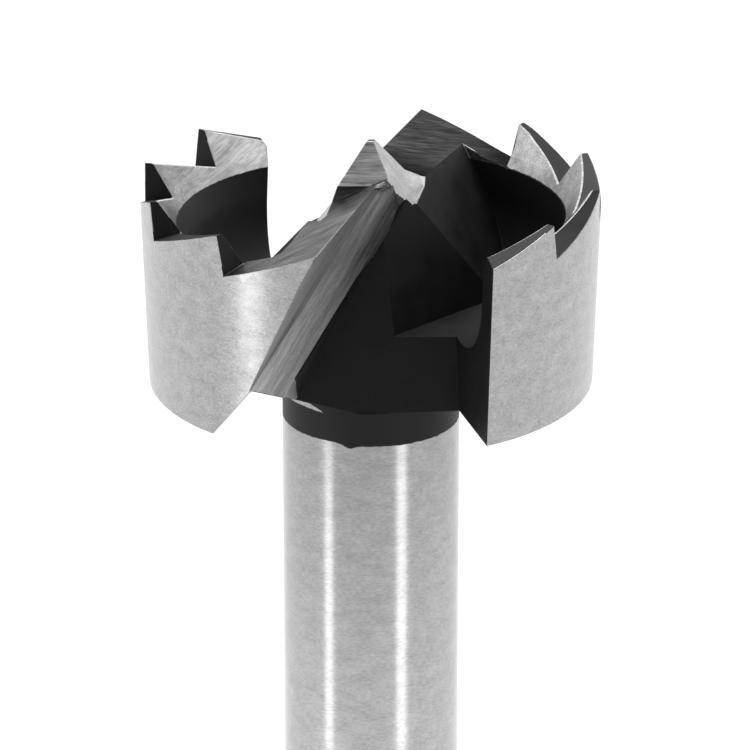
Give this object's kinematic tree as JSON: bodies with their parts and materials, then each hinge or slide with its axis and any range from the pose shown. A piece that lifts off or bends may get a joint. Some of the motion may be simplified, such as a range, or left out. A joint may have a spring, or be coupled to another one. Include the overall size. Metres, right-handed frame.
{
  "type": "forstner bit",
  "caption": "Saw-toothed forstner bit: open cylindrical head with lifters, hollowed chip spaces, a low centre point and a straight round shank.",
  "frame": {"origin": "centre of the flat end of the shank", "axes": "+Z along the bit's axis, from the shank towards the centre point"},
  "size_m": [0.0254, 0.0246, 0.09],
  "materials": {
    "steel": "ground steel outside, black oxide inside the head"
  },
  "bodies": {
    "root": {"forstner_bit": "steel"}
  },
  "joints": []
}
